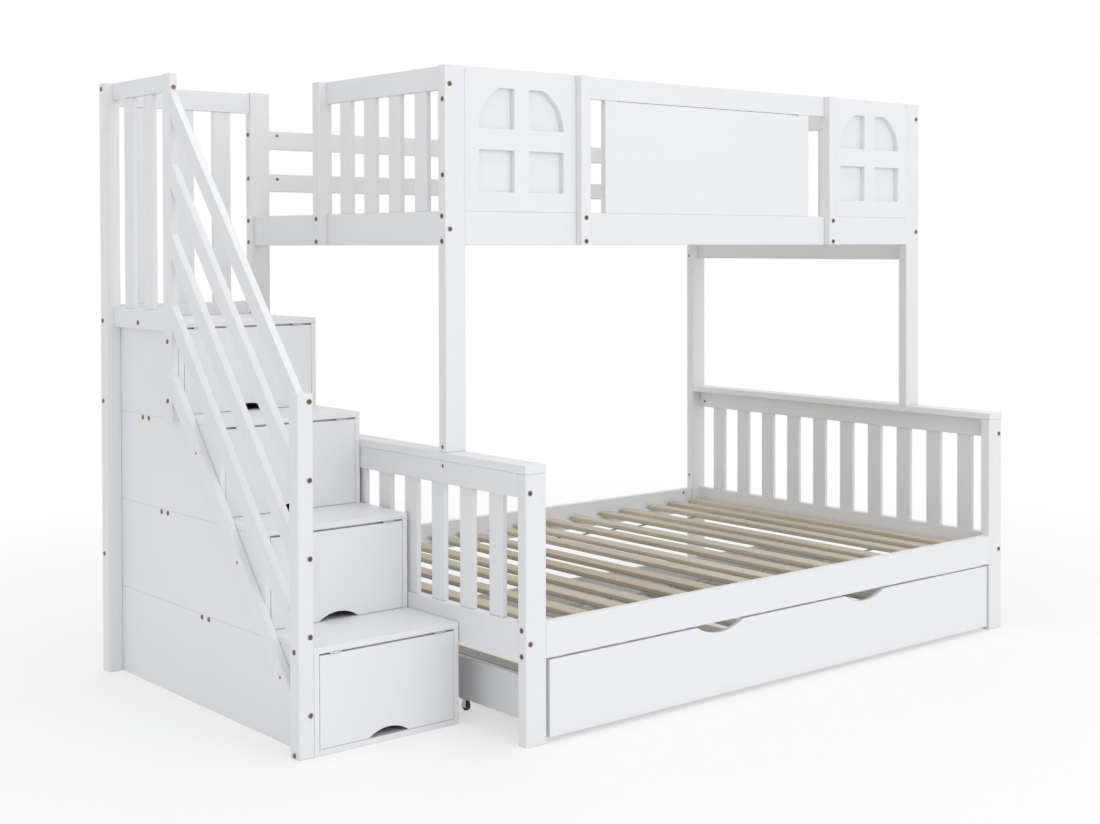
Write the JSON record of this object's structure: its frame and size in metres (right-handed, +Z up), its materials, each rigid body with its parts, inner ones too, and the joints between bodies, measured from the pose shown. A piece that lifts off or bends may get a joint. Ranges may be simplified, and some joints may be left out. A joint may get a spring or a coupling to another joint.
{
  "type": "bunk bed with storage stairs",
  "caption": "White twin over full bunk bed with a storage stair at its left end, flap doors in the stair boxes, a front guard with window panels and a rolling trundle.",
  "frame": {"origin": "middle of the bed's whole footprint, stairs included, on the floor", "axes": "+X along the bed from the stair end to the far end, +Y from the front to the wall side, +Z up"},
  "size_m": [2.5008, 1.462, 1.771],
  "materials": {
    "white_paint": "satin white paint over pine and board",
    "slat_wood": "plain planed pine",
    "strap_fabric": "woven grey tape",
    "wheel_plastic": "moulded dark grey plastic",
    "bright_steel": "zinc plated steel",
    "bronze_steel": "dark bronze plated steel"
  },
  "bodies": {
    "frame": {"front_posts": "white_paint", "rear_posts": "white_paint", "end_caps": "white_paint", "end_rails_lower": "white_paint", "end_slats_lower": "white_paint", "side_rails_lower": "white_paint", "bunk_posts": "white_paint", "end_rails_upper": "white_paint", "side_rails_upper": "white_paint", "cross_bearer": "white_paint", "rear_guard_rails": "white_paint", "end_guard_rails": "white_paint", "end_guard_slats": "white_paint", "access_post": "white_paint", "front_stub_posts": "white_paint", "front_top_rail": "white_paint", "front_board": "white_paint", "window_frames": "white_paint", "window_backs": "white_paint", "stair_box_1": "white_paint", "stair_box_2": "white_paint", "stair_box_3": "white_paint", "stair_box_4": "white_paint", "stair_treads": "white_paint", "corner_post": "white_paint", "newel_post": "white_paint", "middle_post": "white_paint", "side_guard_rails": "white_paint", "side_guard_slats": "white_paint", "rear_rails_stair": "white_paint", "rear_slats_stair": "white_paint", "stringer": "white_paint", "handrail_bars": "white_paint", "ledgers_lower": "slat_wood", "slats_lower": "slat_wood", "ledgers_upper": "slat_wood", "slats_upper": "slat_wood", "slat_straps": "strap_fabric", "hinge_leaves": "bright_steel", "bolts_bed": "bronze_steel", "bolts_bunk": "bronze_steel", "bolts_stairs": "bronze_steel", "cross_dowels": "bronze_steel"},
    "trundle": {"trundle_front": "white_paint", "trundle_sides": "white_paint", "trundle_back": "white_paint", "trundle_ledgers": "slat_wood", "trundle_slats": "slat_wood", "caster_forks": "bright_steel"},
    "front_wheels": {"casters_front": "wheel_plastic"},
    "rear_wheels": {"casters_rear": "wheel_plastic"},
    "door_1": {"stair_door_1": "white_paint", "door_leaves_1": "bright_steel"},
    "door_2": {"stair_door_2": "white_paint", "door_leaves_2": "bright_steel"},
    "door_3": {"stair_door_3": "white_paint", "door_leaves_3": "bright_steel"},
    "door_4": {"stair_door_4": "white_paint", "door_leaves_4": "bright_steel"}
  },
  "joints": [
    {"name": "door_1_hinge", "type": "hinge", "parent": "frame", "child": "door_1", "pos_m": [-0.984, -0.4371, 0.2555], "axis": [-1, 0, 0], "range_deg": [0, 90]},
    {"name": "door_2_hinge", "type": "hinge", "parent": "frame", "child": "door_2", "pos_m": [-0.984, -0.1921, 0.5195], "axis": [-1, 0, 0], "range_deg": [0, 90]},
    {"name": "door_3_hinge", "type": "hinge", "parent": "frame", "child": "door_3", "pos_m": [-0.984, 0.0529, 0.7835], "axis": [-1, 0, 0], "range_deg": [0, 90]},
    {"name": "door_4_hinge", "type": "hinge", "parent": "frame", "child": "door_4", "pos_m": [-0.984, 0.2979, 1.0475], "axis": [-1, 0, 0], "range_deg": [0, 90]},
    {"name": "trundle_slide", "type": "slide", "parent": "frame", "child": "trundle", "axis": [0, -1, 0], "range_m": [0, 0.9]},
    {"name": "front_wheels_roll", "type": "hinge", "parent": "trundle", "child": "front_wheels", "pos_m": [0.2435, -0.3451, 0.014], "axis": [1, 0, 0], "range_deg": [-1, 3690]},
    {"name": "rear_wheels_roll", "type": "hinge", "parent": "trundle", "child": "rear_wheels", "pos_m": [0.2435, 0.1709, 0.014], "axis": [1, 0, 0], "range_deg": [-1, 3690]}
  ],
  "couplings": [
    {"joint": "front_wheels_roll", "follows": "trundle_slide", "rad_per_m": 71.429},
    {"joint": "rear_wheels_roll", "follows": "trundle_slide", "rad_per_m": 71.429}
  ]
}
